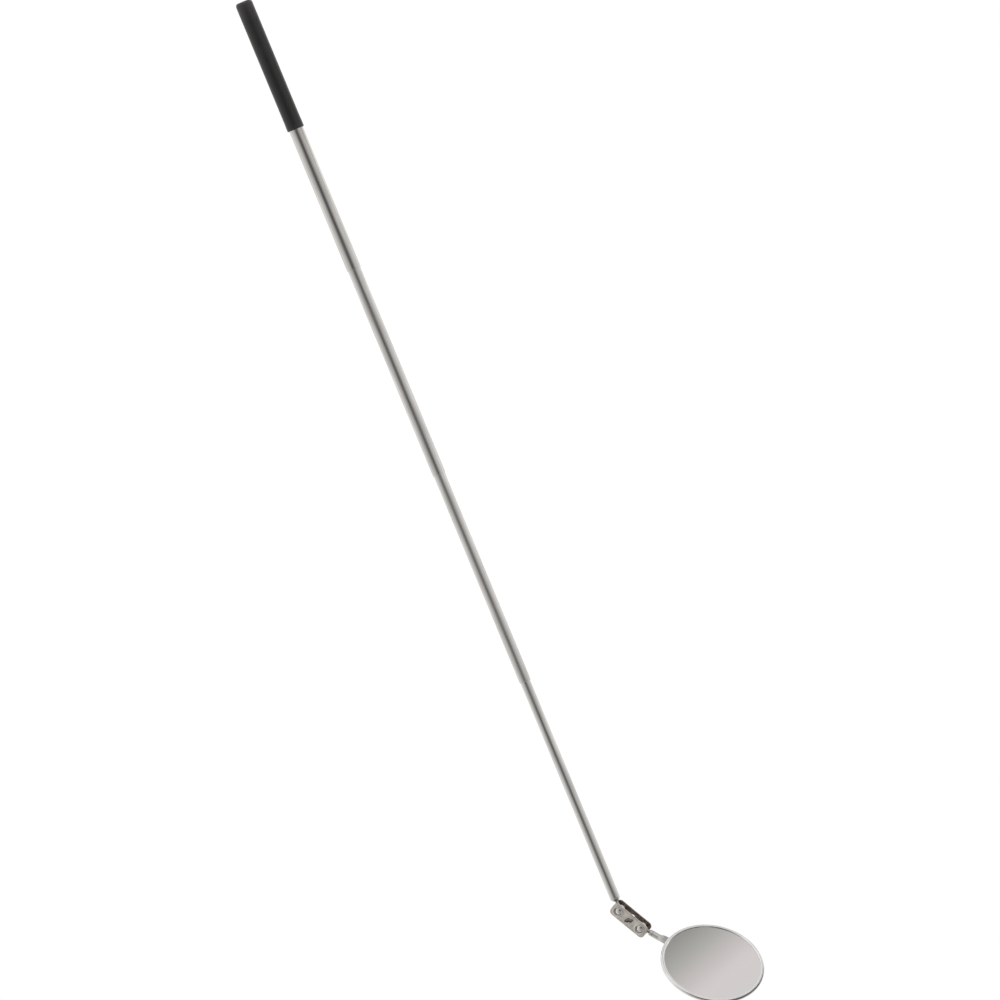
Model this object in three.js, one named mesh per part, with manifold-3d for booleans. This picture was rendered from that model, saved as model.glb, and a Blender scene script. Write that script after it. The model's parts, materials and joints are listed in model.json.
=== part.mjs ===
// Telescoping inspection mirror: a vinyl-gripped rod of four nesting steel tubes, a two-ball
// clamp link at its tip, and a round glass mirror in a rolled steel case.
// Millimetres. The rod lies along +X with the centre of the grip's end face at the origin.
// The tool lies on a flat surface, drawn out to its full length, with +Z up.

import * as THREE from 'three';
import { mergeVertices } from 'three/addons/utils/BufferGeometryUtils.js';
import Module from 'manifold-3d';

const wasm = await Module();
wasm.setup();

// ---------------------------------------------------------------- driving dimensions

// grip
const GRIP_LENGTH = 75;
const GRIP_RADIUS = 4.8;
const GRIP_CORNER = 1.2;
const GRIP_LIP = 0.3;
const GRIP_END_WALL = 2;
const GRIP_CLEAR = 0.03;
const PLUG_LENGTH = 10;
const PLUG_LAND = 3;
const PLUG_RELIEF = 0.5;
const PLUG_CLEAR = 0.06;

// tubes, outermost first: outside radius and where the mouth is when the rod is drawn out
const TUBES = [
  { name: 'tube_1', radius: 4, mouth: 157.5 },
  { name: 'tube_2', radius: 3.6, mouth: 278 },
  { name: 'tube_3', radius: 3.2, mouth: 399.7 },
  { name: 'tube_4', radius: 2.75, mouth: 528.2 },
];
const WALL = 0.25;
const MOUTH_LENGTH = 2;
const ROLL_LENGTH = 1;
const TIP_BORE = 1.7;
const FLARE_LENGTH = 1.5;
const SHOULDER_LENGTH = 0.4;
const SPRING_LENGTH = 12;
const SLIT_WIDTH = 1.4;

// radial clearances of the telescoping fit
const FLARE_CLEAR = 0.04;
const SPRING_CLEAR = 0.03;
const MOUTH_CLEAR = 0.06;
const END_CLEAR = 0.3;

// the stud pressed into the last tube
const STUD_LENGTH = 11;
const STUD_CHAMFER = 0.5;
const STUD_CLEAR = 0.04;
const COLLAR_CLEAR = 0.06;

// balls and link
const BALL_RADIUS = 3.175;
const BALL_SPACING = 15;
const ROD_BALL_X = 533.7;
const NECK_RADIUS = 1;
const BALL_CLEAR = 0.3;
const PLATE_LENGTH = 23.4;
const PLATE_WIDTH = 8.2;
const PLATE_CORNER = 2.4;
const PLATE_THICKNESS = 0.8;
const PLATE_GAP = 4.3;
const PLATE_BEVEL = 0.25;
const SEAT_RADIUS = 2.16;
const SCREW_RADIUS = 1.35;
const SCREW_HOLE_RADIUS = 1.5;
const HEAD_RADIUS = 2.5;
const HEAD_HEIGHT = 1.2;
const SLOT_WIDTH = 0.9;
const SLOT_DEPTH = 0.6;
const SLOT_ANGLE = 40;
const CROWN_ROUND = 0.7;
const SCREW_TIP = 0.3;
const SCREW_CHAMFER = 0.2;
const WASHER_THICKNESS = 0.45;
const WASHER_WIDTH = 0.85;
const WASHER_SLIT = 0.5;
const NUT_THICKNESS = 1.2;
const NUT_ACROSS_FLATS = 5;
const STACK_GAP = 0.05;
const THREAD_CLEAR = 0.08;

// mirror head
const MIRROR_RADIUS = 28.575;
const CASE_DEPTH = 2.9;
const CASE_WALL = 0.5;
const CASE_SKIRT = 0.9;
const BEZEL_WIDTH = 2.1;
const LIP_UNDERSIDE = 0.7;
const LIP_EDGE = 0.45;
const PAD_THICKNESS = 0.4;
const PAD_INSET = 1.9;
const GLASS_THICKNESS = 1.1;
const GLASS_INSET = 1.1;
const HEAD_GAP = 0.05;

// the stem and the blade on its end, measured from the centre of the mirror's ball
const STEM_RADIUS = 1.75;
const STEM_REACH = 45.4;
const STEM_DROP = 4.3;
const SHOULDER_START = 5.2;
const SHOULDER_END = 5.7;
const SWIVEL_AT = 7.5;
const SWIVEL_GAP = 0.05;
const PIN_RADIUS = 0.9;
const PIN_END = 11.2;
const PIN_CLEAR = 0.06;
const FLATTEN_START = 11;
const FLATTEN_END = 14.4;
const BLADE_HALF_WIDTH = 2.65;
const BLADE_THICKNESS = 1.2;
const BLADE_END = 51.4;

// how the head lies, degrees
const LINK_TURN = 28.1;
const LINK_RISE = 4.6;
const LINK_ROLL = 33;
const MIRROR_LEAN = 45.3;
const MIRROR_FACING = 144.6;
const STEM_CLIMB = 23.2;

// facets round a turned piece
const ROUND = 32;
const HOLE_ROUND = 24;
const CORNER_ROUND = 5;
const DISC_ROUND = 60;

// ---------------------------------------------------------------- helpers

const rad = THREE.MathUtils.degToRad;

const tool = new THREE.Group();

function material(color, roughness, metalness) {
  return new THREE.MeshStandardMaterial({ color, roughness, metalness });
}

const vinyl = () => material(0x1d1c1b, 0.6, 0);
const nylon = () => material(0x2a2a2a, 0.5, 0);
const polishedSteel = () => material(0xc9c6c0, 0.22, 1);
const stampedSteel = () => material(0xa19b90, 0.4, 1);
const screwSteel = () => material(0x6f6a60, 0.45, 1);
const bronze = () => material(0xb08a52, 0.35, 1);
const chrome = () => material(0xd8d6d4, 0.12, 1);
const board = () => material(0x8a7f6c, 0.9, 0);
const silvering = () => material(0xe6e6e8, 0.03, 1);

function add(group, name, geometry, finish) {
  const mesh = new THREE.Mesh(geometry, finish);
  mesh.name = name;
  group.add(mesh);
}

// A solid turned about Z. The profile is [radius, height] points, anticlockwise.
function turnedAboutZ(profile, round = ROUND) {
  const points = profile.map(([r, z]) => new THREE.Vector2(r, z));
  return new THREE.LatheGeometry(points, round).rotateX(Math.PI / 2);
}

// A solid turned about X. The profile is [radius, x] points, anticlockwise.
function turnedAboutX(profile, round = ROUND) {
  const points = profile.map(([r, x]) => new THREE.Vector2(r, x));
  return new THREE.LatheGeometry(points, round).rotateZ(-Math.PI / 2);
}

// The [radius, height] points of an arc in a turned profile, both ends included.
function arc(centreR, centreZ, radius, fromDegrees, toDegrees, steps) {
  return Array.from({ length: steps + 1 }, (_, i) => {
    const a = rad(fromDegrees + ((toDegrees - fromDegrees) * i) / steps);
    return [centreR + radius * Math.cos(a), centreZ + radius * Math.sin(a)];
  });
}

function outline(points) {
  return new THREE.Shape(points.map(([x, y]) => new THREE.Vector2(x, y)));
}

function roundHole(x, y, radius) {
  const points = arc(x, y, radius, 0, -360, HOLE_ROUND).slice(1);
  return new THREE.Path(points.map(([px, py]) => new THREE.Vector2(px, py)));
}

function extruded(shape, depth) {
  return new THREE.ExtrudeGeometry(shape, { depth, bevelEnabled: false });
}

// A ring with a slit, extruded along Z.
function splitRing(outer, inner, length, slit) {
  const half = THREE.MathUtils.radToDeg(slit / 2 / outer);
  return extruded(outline([
    ...arc(0, 0, outer, half, 360 - half, ROUND),
    ...arc(0, 0, inner, 360 - half, half, ROUND),
  ]), length);
}

// A sheet metal outline with its edges tumbled to a small bevel, from z = 0 to the thickness.
function tumbled(shape, thickness, bevel) {
  return new THREE.ExtrudeGeometry(shape, {
    depth: thickness - 2 * bevel,
    bevelThickness: bevel,
    bevelSize: bevel,
    bevelOffset: -bevel,
    bevelSegments: 1,
  }).translate(0, 0, bevel);
}

function toManifold(geometry) {
  const bare = geometry.clone();
  bare.deleteAttribute('normal');
  bare.deleteAttribute('uv');
  const merged = mergeVertices(bare, 1e-5);
  return new wasm.Manifold(new wasm.Mesh({
    numProp: 3,
    vertProperties: new Float32Array(merged.attributes.position.array),
    triVerts: new Uint32Array(merged.index.array),
  }));
}

function subtract(geometry, cutter) {
  const mesh = toManifold(geometry).subtract(toManifold(cutter)).getMesh();
  const result = new THREE.BufferGeometry();
  result.setAttribute('position', new THREE.BufferAttribute(mesh.vertProperties, 3));
  result.setIndex(new THREE.BufferAttribute(mesh.triVerts, 1));
  result.computeVertexNormals();
  return result;
}

// A group at a point, with its X and Z axes along the given unit vectors.
function placed(origin, xAxis, zAxis) {
  const group = new THREE.Group();
  const yAxis = new THREE.Vector3().crossVectors(zAxis, xAxis);
  group.quaternion.setFromRotationMatrix(new THREE.Matrix4().makeBasis(xAxis, yAxis, zAxis));
  group.position.copy(origin);
  tool.add(group);
  return group;
}

// ---------------------------------------------------------------- handle

function grip() {
  const bore = TUBES[0].radius + GRIP_CLEAR;
  return turnedAboutX([
    [0, 0],
    ...arc(GRIP_RADIUS - GRIP_CORNER, GRIP_CORNER, GRIP_CORNER, -90, 0, CORNER_ROUND),
    [GRIP_RADIUS, GRIP_LENGTH - GRIP_LIP],
    [GRIP_RADIUS - GRIP_LIP, GRIP_LENGTH],
    [bore, GRIP_LENGTH],
    [bore, GRIP_END_WALL],
    [0, GRIP_END_WALL],
  ]);
}

// The plug pressed into the rear of the outer tube, with a shallow relief round its waist.
function buttPlug() {
  const start = GRIP_END_WALL + END_CLEAR;
  const end = start + PLUG_LENGTH;
  const radius = TUBES[0].radius - WALL - PLUG_CLEAR;
  const waist = radius - PLUG_RELIEF;
  return turnedAboutX([
    [0, start],
    [radius, start],
    [radius, start + PLUG_LAND],
    [waist, start + PLUG_LAND + PLUG_RELIEF],
    [waist, end - PLUG_LAND - PLUG_RELIEF],
    [radius, end - PLUG_LAND],
    [waist, end],
    [0, end],
  ]);
}

// ---------------------------------------------------------------- telescoping tubes

// How far a tube reaches back inside the mouth of the tube around it.
const NESTED = MOUTH_LENGTH + END_CLEAR + SPRING_LENGTH + END_CLEAR + FLARE_LENGTH;

function rearOf(index) {
  return index === 0 ? GRIP_END_WALL + END_CLEAR : TUBES[index - 1].mouth - NESTED;
}

function mouthBore(index) {
  if (index < TUBES.length - 1) return TUBES[index + 1].radius + MOUTH_CLEAR;
  return TIP_BORE;
}

// One tube: the rear end is flared to run in the tube around it, and the mouth is rolled in.
function tube(index) {
  const { radius, mouth } = TUBES[index];
  const rear = rearOf(index);
  const bore = radius - WALL;
  const swell = index === 0 ? 0 : TUBES[index - 1].radius - WALL - FLARE_CLEAR - radius;
  const neckedBore = mouthBore(index);
  return turnedAboutX([
    [bore + swell, rear],
    [radius + swell, rear],
    [radius + swell, rear + FLARE_LENGTH - SHOULDER_LENGTH],
    [radius, rear + FLARE_LENGTH],
    [radius, mouth - ROLL_LENGTH],
    [neckedBore + WALL, mouth],
    [neckedBore, mouth],
    [neckedBore, mouth - MOUTH_LENGTH + SHOULDER_LENGTH],
    [bore, mouth - MOUTH_LENGTH],
    [bore, rear + FLARE_LENGTH],
    [bore + swell, rear + FLARE_LENGTH - SHOULDER_LENGTH],
    [bore + swell, rear],
  ]);
}

// The thin split sleeve that drags on the bore of the tube around it.
function frictionSpring(index) {
  const inner = TUBES[index].radius + SPRING_CLEAR;
  const outer = TUBES[index - 1].radius - WALL - SPRING_CLEAR;
  const rear = rearOf(index) + FLARE_LENGTH + END_CLEAR;
  return splitRing(outer, inner, SPRING_LENGTH, SLIT_WIDTH)
    .rotateY(Math.PI / 2)
    .translate(rear, 0, 0);
}

// ---------------------------------------------------------------- ball joints

// Where a neck of the given radius stops short of the ball it carries.
function neckEnd(radius) {
  return Math.sqrt((BALL_RADIUS + BALL_CLEAR) ** 2 - radius ** 2);
}

// The turned stud in the tip of the last tube. Its neck is hollowed to seat the ball.
function tipStud() {
  const { radius, mouth } = TUBES.at(-1);
  const shank = radius - WALL - STUD_CLEAR;
  const collar = TIP_BORE - COLLAR_CLEAR;
  const shankEnd = mouth - MOUTH_LENGTH - COLLAR_CLEAR;
  const rear = shankEnd - STUD_LENGTH;
  return turnedAboutX([
    [0, rear],
    [shank - STUD_CHAMFER, rear],
    [shank, rear + STUD_CHAMFER],
    [shank, shankEnd],
    [collar, shankEnd + STUD_CHAMFER],
    [collar, mouth],
    [NECK_RADIUS, mouth + STUD_CHAMFER / 2],
    [NECK_RADIUS, ROD_BALL_X - neckEnd(NECK_RADIUS)],
    [0, ROD_BALL_X - neckEnd(0)],
  ]);
}

function ball() {
  return new THREE.SphereGeometry(BALL_RADIUS, 20, 12).rotateX(Math.PI / 2);
}

// ---------------------------------------------------------------- clamp link
// In the link's own frame the balls are on X, the plates are square to Z, and the origin is midway.

function linkPlate() {
  const x = PLATE_LENGTH / 2 - PLATE_CORNER;
  const y = PLATE_WIDTH / 2 - PLATE_CORNER;
  const blank = outline([
    ...arc(x, y, PLATE_CORNER, 0, 90, CORNER_ROUND),
    ...arc(-x, y, PLATE_CORNER, 90, 180, CORNER_ROUND),
    ...arc(-x, -y, PLATE_CORNER, 180, 270, CORNER_ROUND),
    ...arc(x, -y, PLATE_CORNER, 270, 360, CORNER_ROUND),
  ]);
  blank.holes.push(roundHole(-BALL_SPACING / 2, 0, SEAT_RADIUS));
  blank.holes.push(roundHole(BALL_SPACING / 2, 0, SEAT_RADIUS));
  blank.holes.push(roundHole(0, 0, SCREW_HOLE_RADIUS));
  return tumbled(blank, PLATE_THICKNESS, PLATE_BEVEL);
}

const PLATE_INNER = PLATE_GAP / 2;
const PLATE_OUTER = PLATE_INNER + PLATE_THICKNESS;
const WASHER_Z = -PLATE_OUTER - STACK_GAP - WASHER_THICKNESS;
const NUT_Z = WASHER_Z - STACK_GAP - NUT_THICKNESS;

function clampScrew() {
  const seat = PLATE_OUTER + STACK_GAP;
  const crown = seat + HEAD_HEIGHT;
  const tip = NUT_Z - SCREW_TIP;
  const screw = turnedAboutZ([
    [0, tip],
    [SCREW_RADIUS - SCREW_CHAMFER, tip],
    [SCREW_RADIUS, tip + SCREW_CHAMFER],
    [SCREW_RADIUS, seat],
    [HEAD_RADIUS, seat],
    ...arc(HEAD_RADIUS - CROWN_ROUND, crown - CROWN_ROUND, CROWN_ROUND, 0, 90, CORNER_ROUND),
    [0, crown],
  ], HOLE_ROUND);
  const slot = new THREE.BoxGeometry(3 * HEAD_RADIUS, SLOT_WIDTH, 2 * SLOT_DEPTH)
    .translate(0, 0, crown)
    .rotateZ(rad(SLOT_ANGLE));
  return subtract(screw, slot);
}

function springWasher() {
  const inner = SCREW_HOLE_RADIUS + STACK_GAP;
  return splitRing(inner + WASHER_WIDTH, inner, WASHER_THICKNESS, WASHER_SLIT)
    .translate(0, 0, WASHER_Z);
}

function clampNut() {
  const hex = outline(arc(0, 0, NUT_ACROSS_FLATS / Math.sqrt(3), 0, 300, 5));
  hex.holes.push(roundHole(0, 0, SCREW_RADIUS + THREAD_CLEAR));
  return extruded(hex, NUT_THICKNESS).translate(0, 0, NUT_Z);
}

// ---------------------------------------------------------------- mirror head
// In the head's own frame the stem runs along X, the glass faces +Z, and the origin is the
// centre of the front of the bezel.

// A pressed cup, its edge rolled over the glass into a rounded bezel.
function mirrorCase() {
  const bead = CASE_DEPTH / 2;
  const lip = MIRROR_RADIUS - BEZEL_WIDTH;
  const pocket = MIRROR_RADIUS - CASE_SKIRT;
  const floor = CASE_WALL - CASE_DEPTH;
  return turnedAboutZ([
    [0, -CASE_DEPTH],
    ...arc(MIRROR_RADIUS - bead, -bead, bead, -90, 75, 6),
    [lip, -LIP_EDGE],
    [lip, -LIP_UNDERSIDE],
    [pocket, -LIP_UNDERSIDE],
    [pocket, floor + CASE_WALL],
    [pocket - CASE_WALL, floor],
    [0, floor],
  ], DISC_ROUND);
}

function disc(radius, bottom, thickness) {
  return turnedAboutZ([
    [0, bottom],
    [radius, bottom],
    [radius, bottom + thickness],
    [0, bottom + thickness],
  ], DISC_ROUND);
}

function backingPad() {
  return disc(MIRROR_RADIUS - PAD_INSET, CASE_WALL - CASE_DEPTH + HEAD_GAP, PAD_THICKNESS);
}

function mirrorGlass() {
  const bottom = -LIP_UNDERSIDE - HEAD_GAP - GLASS_THICKNESS;
  return disc(MIRROR_RADIUS - GLASS_INSET, bottom, GLASS_THICKNESS);
}

// A ring of points at x whose section is a flat bar with round edges. A bar as thick as it is
// wide is round.
function section(x, z, halfWidth, halfThickness) {
  return arc(0, 0, 1, 0, 360, HOLE_ROUND).slice(1).map(([c, s]) => {
    const straight = (halfWidth - halfThickness) * THREE.MathUtils.clamp(2 * c, -1, 1);
    return [x, straight + halfThickness * c, z + halfThickness * s];
  });
}

// A closed solid through a list of matching rings, each end closed by a fan.
function lofted(rings) {
  const count = rings[0].length;
  const middle = (ring) => [0, 1, 2].map((k) => ring.reduce((sum, p) => sum + p[k], 0) / count);
  const points = [...rings.flat(), middle(rings[0]), middle(rings.at(-1))];
  const start = points.length - 2;
  const end = points.length - 1;
  const last = (rings.length - 1) * count;
  const index = [];
  for (let j = 0; j < count; j += 1) {
    const next = (j + 1) % count;
    index.push(start, next, j);
    index.push(last + j, last + next, end);
    for (let ring = 0; ring < last; ring += count) {
      index.push(ring + j, ring + next, ring + count + next);
      index.push(ring + j, ring + count + next, ring + count + j);
    }
  }
  const geometry = new THREE.BufferGeometry();
  geometry.setAttribute('position', new THREE.Float32BufferAttribute(points.flat(), 3));
  geometry.setIndex(index);
  geometry.computeVertexNormals();
  return geometry;
}

// The blade: a round shank, bored for the stem's pin, hammered out flat against the back of
// the case, with a round end.
function stemBlade() {
  const bore = PIN_RADIUS + PIN_CLEAR;
  const flatZ = -CASE_DEPTH - HEAD_GAP - BLADE_THICKNESS / 2;
  const ease = (a, b, t) => a + (b - a) * THREE.MathUtils.smoothstep(t, 0, 1);
  const rings = [
    section(PIN_END + PIN_CLEAR, -STEM_DROP, bore, bore),
    section(SWIVEL_AT + SWIVEL_GAP, -STEM_DROP, bore, bore),
    section(SWIVEL_AT + SWIVEL_GAP, -STEM_DROP, STEM_RADIUS, STEM_RADIUS),
  ];
  for (let t = 0; t <= 1; t += 0.125) {
    rings.push(section(
      FLATTEN_START + (FLATTEN_END - FLATTEN_START) * t,
      ease(-STEM_DROP, flatZ, t),
      ease(STEM_RADIUS, BLADE_HALF_WIDTH, t),
      ease(STEM_RADIUS, BLADE_THICKNESS / 2, t),
    ));
  }
  for (const [c, s] of arc(0, 0, BLADE_HALF_WIDTH, 0, 75, CORNER_ROUND)) {
    rings.push(section(BLADE_END - BLADE_HALF_WIDTH + s, flatZ, c, BLADE_THICKNESS / 2));
  }
  return lofted(rings).translate(-STEM_REACH, 0, 0);
}

// The stem, along X from the centre of its ball, with the pin that the blade turns on.
function mirrorStem() {
  return turnedAboutX([
    [0, neckEnd(0)],
    [NECK_RADIUS, neckEnd(NECK_RADIUS)],
    [NECK_RADIUS, SHOULDER_START],
    [STEM_RADIUS, SHOULDER_END],
    [STEM_RADIUS, SWIVEL_AT],
    [PIN_RADIUS, SWIVEL_AT],
    [PIN_RADIUS, PIN_END],
    [0, PIN_END],
  ], HOLE_ROUND);
}

// ---------------------------------------------------------------- assembly

add(tool, 'grip_sleeve', grip(), vinyl());
add(tool, 'butt_plug', buttPlug(), nylon());
TUBES.forEach(({ name }, index) => add(tool, name, tube(index), polishedSteel()));
for (let index = 1; index < TUBES.length; index += 1) {
  add(tool, `friction_spring_${index + 1}`, frictionSpring(index), bronze());
}
add(tool, 'tip_stud', tipStud(), polishedSteel());

// the link, turned towards +Y, rising a little, and rolled about its own length
const turn = rad(LINK_TURN);
const rise = rad(LINK_RISE);
const roll = rad(LINK_ROLL);
const along = new THREE.Vector3(
  Math.cos(turn) * Math.cos(rise),
  Math.sin(turn) * Math.cos(rise),
  Math.sin(rise),
);
const aside = new THREE.Vector3(Math.sin(turn), -Math.cos(turn), 0);
const upright = new THREE.Vector3().crossVectors(aside, along);
const plateNormal = new THREE.Vector3()
  .addScaledVector(aside, Math.sin(roll))
  .addScaledVector(upright, Math.cos(roll));

const rodBallCentre = new THREE.Vector3(ROD_BALL_X, 0, 0);
const mirrorBallCentre = rodBallCentre.clone().addScaledVector(along, BALL_SPACING);
const linkCentre = rodBallCentre.clone().addScaledVector(along, BALL_SPACING / 2);

add(placed(rodBallCentre, along, plateNormal), 'rod_ball', ball(), chrome());

const link = placed(linkCentre, along, plateNormal);
add(link, 'link_plate_front', linkPlate().translate(0, 0, PLATE_INNER), stampedSteel());
add(link, 'link_plate_back', linkPlate().translate(0, 0, -PLATE_OUTER), stampedSteel());
add(link, 'clamp_screw', clampScrew(), screwSteel());
add(link, 'spring_washer', springWasher(), screwSteel());
add(link, 'clamp_nut', clampNut(), screwSteel());

add(placed(mirrorBallCentre, along, plateNormal), 'mirror_ball', ball(), chrome());

// the mirror, leaning back, with the blade lying along its back
const lean = rad(MIRROR_LEAN);
const facing = rad(MIRROR_FACING);
const climb = rad(STEM_CLIMB);
const faceNormal = new THREE.Vector3(
  Math.sin(lean) * Math.cos(facing),
  Math.sin(lean) * Math.sin(facing),
  Math.cos(lean),
);
const level = new THREE.Vector3(Math.sin(facing), -Math.cos(facing), 0);
const upSlope = new THREE.Vector3().crossVectors(level, faceNormal);
const stemAxis = new THREE.Vector3()
  .addScaledVector(level, Math.cos(climb))
  .addScaledVector(upSlope, Math.sin(climb));
const faceCentre = mirrorBallCentre.clone()
  .addScaledVector(stemAxis, STEM_REACH)
  .addScaledVector(faceNormal, STEM_DROP);

add(placed(mirrorBallCentre, stemAxis, faceNormal), 'mirror_stem', mirrorStem(), polishedSteel());

const head = placed(faceCentre, stemAxis, faceNormal);
add(head, 'stem_blade', stemBlade(), polishedSteel());
add(head, 'mirror_case', mirrorCase(), chrome());
add(head, 'backing_pad', backingPad(), board());
add(head, 'mirror_glass', mirrorGlass(), silvering());

export default tool;
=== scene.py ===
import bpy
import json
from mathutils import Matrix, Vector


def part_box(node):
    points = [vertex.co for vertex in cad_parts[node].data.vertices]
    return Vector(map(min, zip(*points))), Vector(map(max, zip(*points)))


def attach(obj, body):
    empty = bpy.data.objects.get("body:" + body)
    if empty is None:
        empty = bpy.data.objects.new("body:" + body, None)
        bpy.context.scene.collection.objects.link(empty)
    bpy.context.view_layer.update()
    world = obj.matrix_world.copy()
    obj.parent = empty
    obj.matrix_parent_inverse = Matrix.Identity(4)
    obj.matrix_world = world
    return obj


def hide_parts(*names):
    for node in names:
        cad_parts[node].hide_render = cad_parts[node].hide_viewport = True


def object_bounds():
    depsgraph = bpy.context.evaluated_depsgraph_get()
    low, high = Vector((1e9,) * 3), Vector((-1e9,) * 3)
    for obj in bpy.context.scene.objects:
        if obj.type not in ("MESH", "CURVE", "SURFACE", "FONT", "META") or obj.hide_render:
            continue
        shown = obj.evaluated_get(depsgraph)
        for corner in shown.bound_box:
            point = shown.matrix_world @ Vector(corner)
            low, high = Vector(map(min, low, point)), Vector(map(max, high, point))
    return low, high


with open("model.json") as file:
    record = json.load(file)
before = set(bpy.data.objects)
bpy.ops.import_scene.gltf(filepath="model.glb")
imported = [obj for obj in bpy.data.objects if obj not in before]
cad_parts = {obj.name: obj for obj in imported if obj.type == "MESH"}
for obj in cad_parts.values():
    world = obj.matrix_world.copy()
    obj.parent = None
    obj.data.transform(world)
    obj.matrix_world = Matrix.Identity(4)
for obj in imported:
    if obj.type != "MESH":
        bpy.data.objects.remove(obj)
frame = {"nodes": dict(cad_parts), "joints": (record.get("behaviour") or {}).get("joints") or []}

"""Looks for the telescoping inspection mirror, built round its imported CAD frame.

Pieces are drawn in millimetres in a local frame, and stand in the row frame in metres.
"""

import json
import math

import bmesh
import bpy
import numpy as np
from mathutils import Matrix, Vector
from mathutils.geometry import tessellate_polygon

CAD_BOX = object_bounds()
MM = 0.001

# ---------------------------------------------------------------- camera
# It looks straight down from high above, with the rod running down to the right.

ROD_LEAN = math.radians(22.55)
AIM = Vector((0.3033, 0.0251, 0))
FRAMED = 0.5427
LENS = 800
SENSOR = 36


def make_camera():
    data = bpy.data.cameras.new("camera")
    data.lens = LENS
    data.sensor_width = SENSOR
    data.clip_end = 40
    camera = bpy.data.objects.new("camera", data)
    right = Vector((math.sin(ROD_LEAN), math.cos(ROD_LEAN), 0))
    up = Vector((-math.cos(ROD_LEAN), math.sin(ROD_LEAN), 0))
    back = Vector((0, 0, 1))
    turn = Matrix((right, up, back)).transposed().to_4x4()
    camera.matrix_world = Matrix.Translation(AIM + back * FRAMED * LENS / SENSOR) @ turn
    bpy.context.scene.collection.objects.link(camera)
    bpy.context.scene.camera = camera


make_camera()

# ---------------------------------------------------------------- places and sizes

JOINTS = {j["name"]: j for j in frame["joints"]}
BALL_1 = Vector(JOINTS["link_swing"]["pos_m"])
BALL_2 = Vector(JOINTS["mirror_swing"]["pos_m"])
PLATE_NORMAL = Vector(JOINTS["link_swing"]["axis"]).normalized()
STEM_AXIS = Vector(JOINTS["head_spin"]["axis"]).normalized()


def axes(origin, x, z):
    """The matrix of a frame at origin with its X and Z axes that way."""
    y = z.cross(x).normalized()
    return Matrix.Translation(origin) @ Matrix((x, y, z)).transposed().to_4x4()


def thin_direction(node):
    """The middle of a flat CAD node, and the unit vector square to it that points up."""
    points = np.array([v.co for v in frame["nodes"][node].data.vertices], float)
    middle = points.mean(0)
    normal = Vector(np.linalg.svd(points - middle, full_matrices=False)[2][2])
    return Vector(middle), normal if normal.z > 0 else -normal


def end_mm(node, side):
    """Where a CAD node on the rod starts (0) or ends (1) along X, in millimetres."""
    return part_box(node)[side].x / MM


GRIP_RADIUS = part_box("grip_sleeve")[1].y / MM
GRIP_LENGTH = end_mm("grip_sleeve", 1)
TUBE_RADII = {"tube_1": 4, "tube_2": 3.6, "tube_3": 3.2, "tube_4": 2.75}
WALL = 0.25
MOUTH_CLEAR = 0.06
TIP_BORE = 1.7
BALL_RADIUS = 3.175
NECK_RADIUS = 1.0
BALL_SPACING = (BALL_2 - BALL_1).length / MM
PLATE_LENGTH = 23.4
PLATE_WIDTH = 8.2
PLATE_CORNER = 2.4
PLATE_THICKNESS = 0.8
PLATE_INNER = 2.15
PLATE_OUTER = PLATE_INNER + PLATE_THICKNESS
MIRROR_RADIUS = 28.575
CASE_DEPTH = 2.9
BEZEL = 2.1
GLASS_TOP = 0.75
GLASS_THICKNESS = 1.1
STEM_RADIUS = 1.75
STEM_REACH = 45.4
STEM_DROP = 4.3
SWIVEL_AT = 7.5
PIN_RADIUS = 0.9
PIN_END = 11.2
BLADE_HALF_WIDTH = 2.65
BLADE_THICKNESS = 1.2
BLADE_END = 51.4
SHANK_END = 11
SHANK_TAPER = 3.4
BLADE_END_TURN = 80
WELDS = (-21, -8, 3)

ROD = Matrix.Identity(4)
LINK_AXIS = (BALL_2 - BALL_1).normalized()
LINK = axes((BALL_1 + BALL_2) / 2, LINK_AXIS, PLATE_NORMAL)
AT_BALL_1 = axes(BALL_1, LINK_AXIS, PLATE_NORMAL)
AT_BALL_2 = axes(BALL_2, LINK_AXIS, PLATE_NORMAL)
GLASS_MIDDLE, FACE_NORMAL = thin_direction("mirror_glass")
STEM = axes(BALL_2, STEM_AXIS, FACE_NORMAL)
FACE = GLASS_MIDDLE + FACE_NORMAL * (GLASS_TOP + GLASS_THICKNESS / 2) * MM
HEAD = axes(FACE, STEM_AXIS, FACE_NORMAL)

# ---------------------------------------------------------------- mesh making


def piece(name, mesh, place, body, finish, nodes=(), sharp=32):
    """A mesh in millimetres becomes a smooth piece that rides on a body and stands for nodes."""
    local = mesh.attributes.new("local", "FLOAT_VECTOR", "POINT")
    for entry, vertex in zip(local.data, mesh.vertices):
        entry.vector = vertex.co
    mesh.transform(place @ Matrix.Scale(MM, 4))
    cleaned = bmesh.new()
    cleaned.from_mesh(mesh)
    bmesh.ops.recalc_face_normals(cleaned, faces=cleaned.faces)
    cleaned.to_mesh(mesh)
    cleaned.free()
    mesh.shade_smooth()
    mesh.set_sharp_from_angle(angle=math.radians(sharp))
    obj = bpy.data.objects.new(name, mesh)
    bpy.context.scene.collection.objects.link(obj)
    mesh.materials.clear()
    mesh.materials.append(finish)
    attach(obj, body)
    if nodes:
        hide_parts(*nodes)
    return obj


def mesh_of(name, points, faces):
    mesh = bpy.data.meshes.new(name)
    mesh.from_pydata([tuple(p) for p in points], [], faces)
    mesh.update()
    return mesh


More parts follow.
